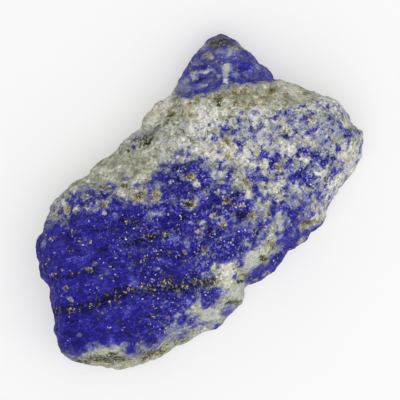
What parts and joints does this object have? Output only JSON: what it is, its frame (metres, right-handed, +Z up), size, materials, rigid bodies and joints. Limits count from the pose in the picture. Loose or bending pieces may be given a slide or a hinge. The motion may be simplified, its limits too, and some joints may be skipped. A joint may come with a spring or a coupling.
{
  "type": "lapis lazuli stone",
  "caption": "Rough piece of lapis lazuli lying flat: a broken slab of deep blue rock with pale calcite patches, pyrite grains, a bevelled side and a blue peak at one corner.",
  "frame": {"origin": "the middle of the stone's outline, on the surface that it lies on", "axes": "+X along the stone to its broad end, +Y across it to the side with the peak, +Z up"},
  "size_m": [0.0596, 0.0338, 0.0152],
  "materials": {
    "stone": "rough"
  },
  "bodies": {
    "root": {"lapis_stone": "stone"}
  },
  "joints": []
}
